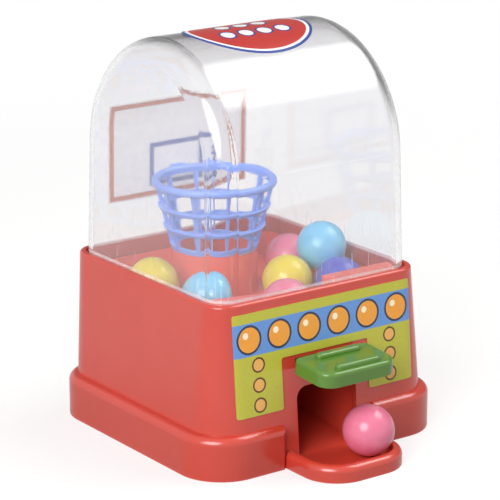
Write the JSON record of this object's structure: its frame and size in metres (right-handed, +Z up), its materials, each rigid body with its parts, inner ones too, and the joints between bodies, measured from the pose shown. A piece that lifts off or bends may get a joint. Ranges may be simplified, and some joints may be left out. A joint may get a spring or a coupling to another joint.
{
  "type": "toy gumball machine",
  "caption": "Desk-top gumball dispenser game: red stepped base with thumb lever, exit chute and tray, clear vaulted dome with backboard, hoop and net, and loose gumballs.",
  "frame": {"origin": "centre of the plinth's resting face", "axes": "+Z up, the lever, exit and tray face -Y, +X to the right of someone who faces its front"},
  "size_m": [0.0728, 0.0869, 0.1006],
  "materials": {
    "red_plastic": "moulded, satin gloss",
    "clear_plastic": "clear, polished",
    "printed_film": "clear film with a printed border",
    "blue_plastic": "moulded, satin gloss",
    "green_plastic": "moulded, gloss",
    "front_label": "printed label",
    "top_label": "printed label",
    "steel": "plain",
    "yellow_candy": "polished sugar shell",
    "blue_candy": "polished sugar shell",
    "pink_candy": "polished sugar shell",
    "violet_candy": "polished sugar shell"
  },
  "bodies": {
    "machine": {"housing": "red_plastic", "base_plate": "red_plastic", "base_screws": "steel", "chute_tray": "red_plastic", "ball_bed": "red_plastic", "dome": "clear_plastic", "backboard": "printed_film", "hoop_net": "blue_plastic", "pivot_pin": "steel", "return_spring": "steel", "front_label": "front_label", "top_label": "top_label", "gumball_yellow_left": "yellow_candy", "gumball_blue_front": "blue_candy", "gumball_yellow_front": "yellow_candy", "gumball_pink_back": "pink_candy", "gumball_violet": "violet_candy", "gumball_blue_top": "blue_candy"},
    "lever": {"lever": "green_plastic", "gumball_on_spoon": "pink_candy"},
    "tray_gumball": {"gumball_on_tray": "pink_candy"}
  },
  "joints": [
    {"name": "lever_press", "type": "hinge", "parent": "machine", "child": "lever", "pos_m": [0, -0.0265, 0.0246], "axis": [1, 0, 0], "range_deg": [0, 16], "stiffness_Nm_per_rad": 0.02, "springref_deg": -17.19, "deforming": ["return_spring"]},
    {"name": "tray_gumball_take", "type": "slide", "parent": "machine", "child": "tray_gumball", "axis": [0, -0.74, 0.6726], "range_m": [0, 0.04]}
  ]
}
